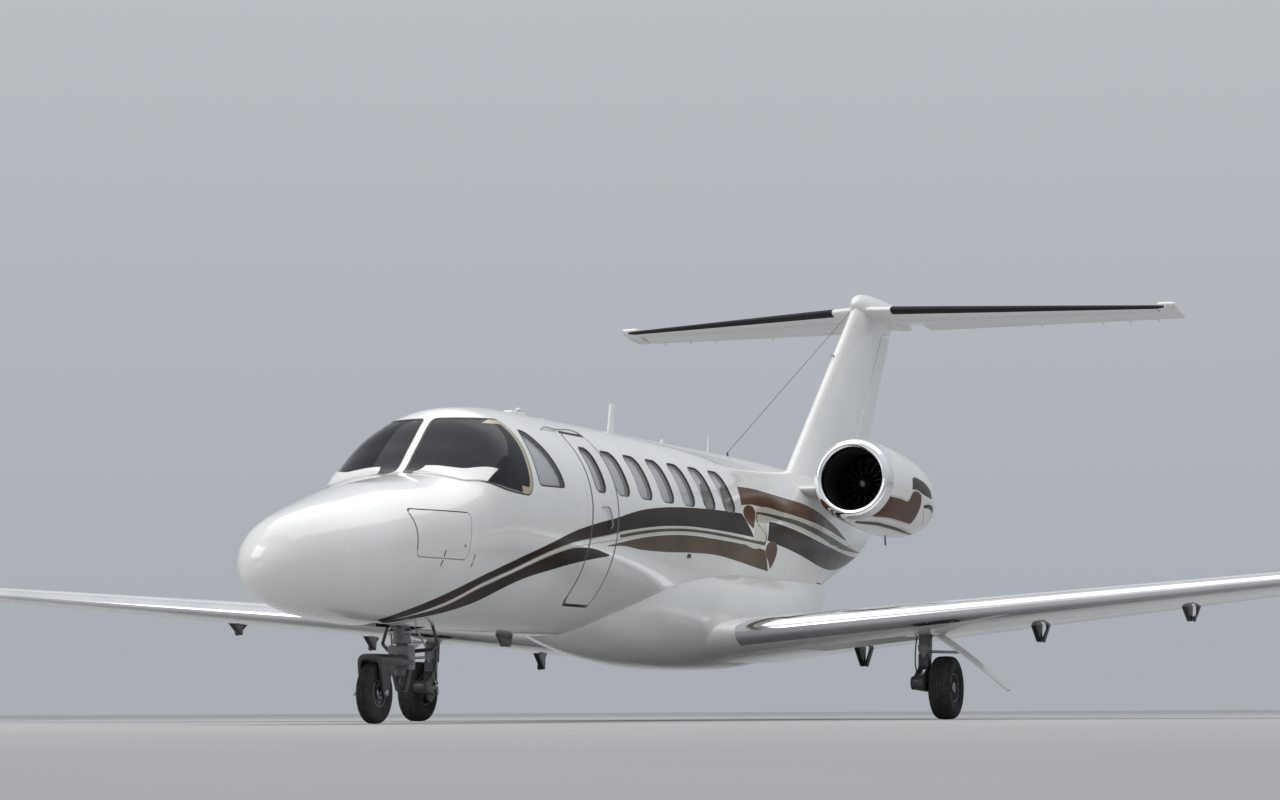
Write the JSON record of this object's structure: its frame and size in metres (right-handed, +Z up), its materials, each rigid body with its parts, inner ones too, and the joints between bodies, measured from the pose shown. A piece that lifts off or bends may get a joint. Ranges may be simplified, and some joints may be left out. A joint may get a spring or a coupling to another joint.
{
  "type": "business jet",
  "caption": "Light twin-engine T-tail business jet parked on tricycle gear, with hollow cabin, opening doors, wing flaps, control surfaces and turning wheels and fans.",
  "frame": {"origin": "on the ground under the middle of the aircraft's overall length and width", "axes": "+Z up, nose towards -Y, left wing towards +X"},
  "size_m": [16.26, 15.496, 4.585],
  "materials": {
    "white_paint": "glossy white paint with brown, taupe and cream ribbons",
    "glass": "tinted acrylic panes",
    "polished_metal": "polished leading edges and inlet lips",
    "gear_metal": "grey painted landing gear castings",
    "wheel_metal": "dull dark wheel halves",
    "tyre_rubber": "worn black rubber",
    "dark_metal": "dark engine metal",
    "carpet": "cut pile carpet",
    "panel": "black anti-glare panel",
    "leather": "beige leather"
  },
  "bodies": {
    "airframe": {"radome": "white_paint", "nose_section": "white_paint", "cockpit_shell": "white_paint", "cabin_shell": "white_paint", "aft_fuselage": "white_paint", "tail_cone": "white_paint", "belly_fairing": "white_paint", "fin": "white_paint", "stabilizer": "white_paint", "wing_left": "white_paint", "wing_right": "white_paint", "nacelle_left": "white_paint", "nacelle_right": "white_paint", "windshield_left": "glass", "windshield_right": "glass", "cockpit_window_left": "glass", "cockpit_window_right": "glass", "cabin_windows_left": "glass", "cabin_windows_right": "glass", "leading_edge_left": "polished_metal", "leading_edge_right": "polished_metal", "inlet_lip_left": "polished_metal", "inlet_lip_right": "polished_metal", "nose_leg": "gear_metal", "main_leg_left": "gear_metal", "main_leg_right": "gear_metal", "engine_left": "dark_metal", "engine_right": "dark_metal", "cabin_floor": "carpet", "instrument_panel": "panel", "pilot_seats": "leather", "cabin_seats": "leather"},
    "nose_fork_body": {"nose_fork": "gear_metal"},
    "nose_wheel_body": {"nose_wheel": "wheel_metal", "nose_tyre": "tyre_rubber"},
    "main_wheel_left_body": {"main_wheel_left": "wheel_metal", "main_tyre_left": "tyre_rubber"},
    "main_wheel_right_body": {"main_wheel_right": "wheel_metal", "main_tyre_right": "tyre_rubber"},
    "fan_left_body": {"fan_left": "dark_metal"},
    "fan_right_body": {"fan_right": "dark_metal"},
    "cabin_door_body": {"cabin_door": "white_paint", "door_window": "glass"},
    "flap_left_body": {"flap_left": "white_paint"},
    "flap_right_body": {"flap_right": "white_paint"},
    "aileron_left_body": {"aileron_left": "white_paint"},
    "aileron_right_body": {"aileron_right": "white_paint"},
    "elevator_body": {"elevator": "white_paint"},
    "rudder_body": {"rudder": "white_paint"},
    "nose_baggage_door_left_body": {"nose_baggage_door_left": "white_paint"},
    "nose_baggage_door_right_body": {"nose_baggage_door_right": "white_paint"},
    "tail_baggage_door_body": {"tail_baggage_door": "white_paint"}
  },
  "joints": [
    {"name": "nose_steering", "type": "hinge", "parent": "airframe", "child": "nose_fork_body", "pos_m": [0, -5.462, 0.5], "axis": [0, 0, 1], "range_deg": [-95, 95]},
    {"name": "nose_wheel_spin", "type": "hinge", "parent": "nose_fork_body", "child": "nose_wheel_body", "pos_m": [0, -5.928, 0.228], "axis": [1, 0, 0], "continuous": true},
    {"name": "main_wheel_left_spin", "type": "hinge", "parent": "airframe", "child": "main_wheel_left_body", "pos_m": [2.59, 0.212, 0.279], "axis": [1, 0, 0], "continuous": true},
    {"name": "main_wheel_right_spin", "type": "hinge", "parent": "airframe", "child": "main_wheel_right_body", "pos_m": [-2.59, 0.212, 0.279], "axis": [1, 0, 0], "continuous": true},
    {"name": "fan_left_spin", "type": "hinge", "parent": "airframe", "child": "fan_left_body", "pos_m": [1.18, 2.36619, 2.24555], "axis": [0, 0.9964, -0.0849], "continuous": true},
    {"name": "fan_right_spin", "type": "hinge", "parent": "airframe", "child": "fan_right_body", "pos_m": [-1.18, 2.36619, 2.24555], "axis": [0, 0.9964, -0.0849], "continuous": true},
    {"name": "cabin_door_hinge", "type": "hinge", "parent": "airframe", "child": "cabin_door_body", "pos_m": [0.838, -3.648, 1.64], "axis": [0, 0, -1], "range_deg": [0, 100]},
    {"name": "flap_left_hinge", "type": "hinge", "parent": "airframe", "child": "flap_left_body", "pos_m": [1.6, 0.888, 0.495], "axis": [-0.9889, 0.0938, -0.1151], "range_deg": [0, 35]},
    {"name": "flap_right_hinge", "type": "hinge", "parent": "airframe", "child": "flap_right_body", "pos_m": [-1.6, 0.888, 0.495], "axis": [-0.9889, -0.0938, 0.1151], "range_deg": [0, 35]},
    {"name": "aileron_left_hinge", "type": "hinge", "parent": "airframe", "child": "aileron_left_body", "pos_m": [6.345, 0.60049, 1.1666], "axis": [0.9908, -0.0982, 0.0935], "range_deg": [-20, 20]},
    {"name": "aileron_right_hinge", "type": "hinge", "parent": "airframe", "child": "aileron_right_body", "pos_m": [-6.345, 0.60049, 1.1666], "axis": [0.9908, 0.0982, -0.0935], "range_deg": [-20, 20]},
    {"name": "elevator_hinge", "type": "hinge", "parent": "airframe", "child": "elevator_body", "pos_m": [0, 7.068, 4.39], "axis": [1, 0, 0], "range_deg": [0, 33]},
    {"name": "rudder_hinge", "type": "hinge", "parent": "airframe", "child": "rudder_body", "pos_m": [0, 5.76799, 3.33], "axis": [0, 0.6322, 0.7748], "range_deg": [-25, 25]},
    {"name": "nose_baggage_door_left_hinge", "type": "hinge", "parent": "airframe", "child": "nose_baggage_door_left_body", "pos_m": [0.6154, -6.082, 1.56], "axis": [-0.285, -0.9585, 0], "range_deg": [0, 90]},
    {"name": "nose_baggage_door_right_hinge", "type": "hinge", "parent": "airframe", "child": "nose_baggage_door_right_body", "pos_m": [-0.6154, -6.082, 1.56], "axis": [-0.285, 0.9585, 0], "range_deg": [0, 90]},
    {"name": "tail_baggage_door_hinge", "type": "hinge", "parent": "airframe", "child": "tail_baggage_door_body", "pos_m": [0.6756, 2.923, 1.69], "axis": [0.127, -0.9919, 0], "range_deg": [0, 80]}
  ],
  "couplings": [
    {"joint": "flap_right_hinge", "follows": "flap_left_hinge", "ratio": 1},
    {"joint": "aileron_right_hinge", "follows": "aileron_left_hinge", "ratio": -1}
  ]
}
